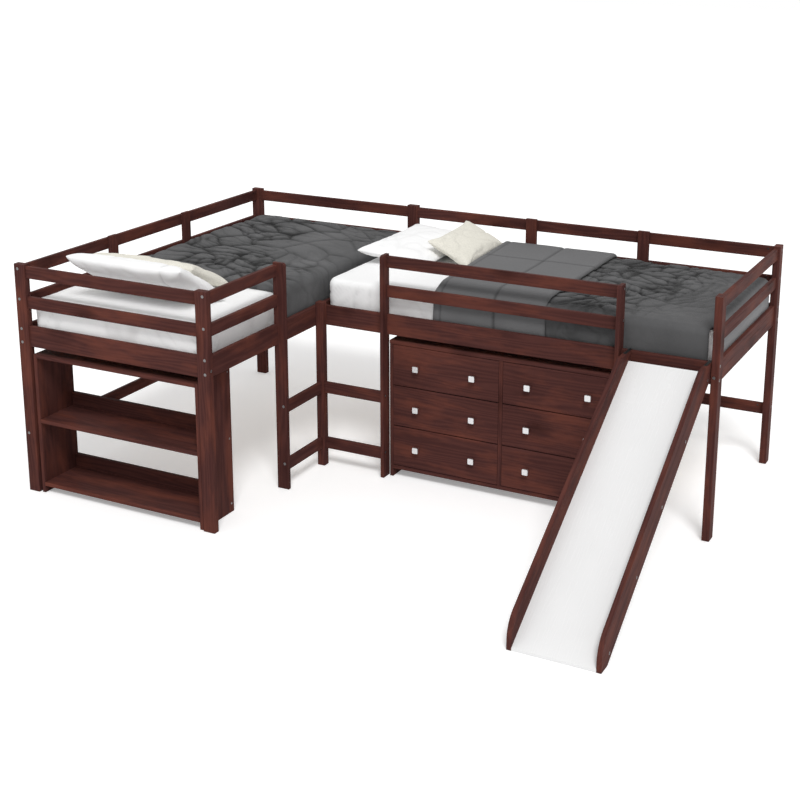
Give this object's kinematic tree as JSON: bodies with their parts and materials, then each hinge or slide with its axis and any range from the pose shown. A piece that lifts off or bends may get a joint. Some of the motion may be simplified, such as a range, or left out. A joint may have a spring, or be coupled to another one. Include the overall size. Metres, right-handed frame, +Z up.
{
  "type": "l-shaped loft bed",
  "caption": "L-shaped low loft bed in dark brown wood with two made-up twin beds, a white slide, a corner ladder, a bookcase and a chest of drawers underneath.",
  "frame": {"origin": "centre of the base", "axes": "+X runs along the back bed to its foot end, +Y goes away from the viewer to the back, +Z is up"},
  "size_m": [2.997, 2.301, 1.1564],
  "materials": {
    "dark_wood": "satin",
    "bare_wood": "matte",
    "steel": "satin",
    "slide_white": "satin",
    "white_linen": "matte",
    "cream_linen": "matte",
    "grey_quilt": "matte"
  },
  "bodies": {
    "bed_frame": {"corner_posts": "dark_wood", "inner_corner_post": "dark_wood", "ladder_posts": "dark_wood", "guard_end_post": "dark_wood", "end_rails": "dark_wood", "end_boards": "dark_wood", "side_rails_a": "dark_wood", "side_rails_b": "dark_wood", "side_boards_a": "dark_wood", "side_boards_b": "dark_wood", "guard_rails_a": "dark_wood", "guard_rails_b": "dark_wood", "rail_uprights": "dark_wood", "low_stretchers": "dark_wood", "ladder_rungs": "dark_wood", "slat_cleats": "bare_wood", "slats_a": "bare_wood", "slats_b": "bare_wood", "bolts": "steel", "barrel_nuts": "steel", "mattress_a": "white_linen", "mattress_b": "white_linen", "comforter_a": "grey_quilt", "comforter_b": "grey_quilt", "white_pillow_a": "white_linen", "cream_pillow_a": "cream_linen", "white_pillow_b": "white_linen", "cream_pillow_b": "cream_linen", "slide_side_boards": "dark_wood", "slide_sheet": "slide_white", "slide_cross_cleats": "dark_wood", "slide_hooks": "steel", "bookcase_sides": "dark_wood", "bookcase_top": "dark_wood", "bookcase_shelves": "dark_wood", "bookcase_screws": "steel", "dresser_sides": "dark_wood", "dresser_top": "dark_wood", "dresser_partition": "dark_wood", "dresser_floor": "dark_wood", "dresser_back": "bare_wood", "cabinet_runners": "steel"},
    "drawer_top_left": {"drawer_box_top_left": "bare_wood", "drawer_front_top_left": "dark_wood", "drawer_knobs_top_left": "steel"},
    "drawer_top_right": {"drawer_box_top_right": "bare_wood", "drawer_front_top_right": "dark_wood", "drawer_knobs_top_right": "steel"},
    "drawer_middle_left": {"drawer_box_middle_left": "bare_wood", "drawer_front_middle_left": "dark_wood", "drawer_knobs_middle_left": "steel"},
    "drawer_middle_right": {"drawer_box_middle_right": "bare_wood", "drawer_front_middle_right": "dark_wood", "drawer_knobs_middle_right": "steel"},
    "drawer_bottom_left": {"drawer_box_bottom_left": "bare_wood", "drawer_front_bottom_left": "dark_wood", "drawer_knobs_bottom_left": "steel"},
    "drawer_bottom_right": {"drawer_box_bottom_right": "bare_wood", "drawer_front_bottom_right": "dark_wood", "drawer_knobs_bottom_right": "steel"}
  },
  "joints": [
    {"name": "drawer_top_left_slide", "type": "slide", "parent": "bed_frame", "child": "drawer_top_left", "axis": [0, -1, 0], "range_m": [0, 0.28]},
    {"name": "drawer_top_right_slide", "type": "slide", "parent": "bed_frame", "child": "drawer_top_right", "axis": [0, -1, 0], "range_m": [0, 0.28]},
    {"name": "drawer_middle_left_slide", "type": "slide", "parent": "bed_frame", "child": "drawer_middle_left", "axis": [0, -1, 0], "range_m": [0, 0.28]},
    {"name": "drawer_middle_right_slide", "type": "slide", "parent": "bed_frame", "child": "drawer_middle_right", "axis": [0, -1, 0], "range_m": [0, 0.28]},
    {"name": "drawer_bottom_left_slide", "type": "slide", "parent": "bed_frame", "child": "drawer_bottom_left", "axis": [0, -1, 0], "range_m": [0, 0.28]},
    {"name": "drawer_bottom_right_slide", "type": "slide", "parent": "bed_frame", "child": "drawer_bottom_right", "axis": [0, -1, 0], "range_m": [0, 0.28]}
  ]
}
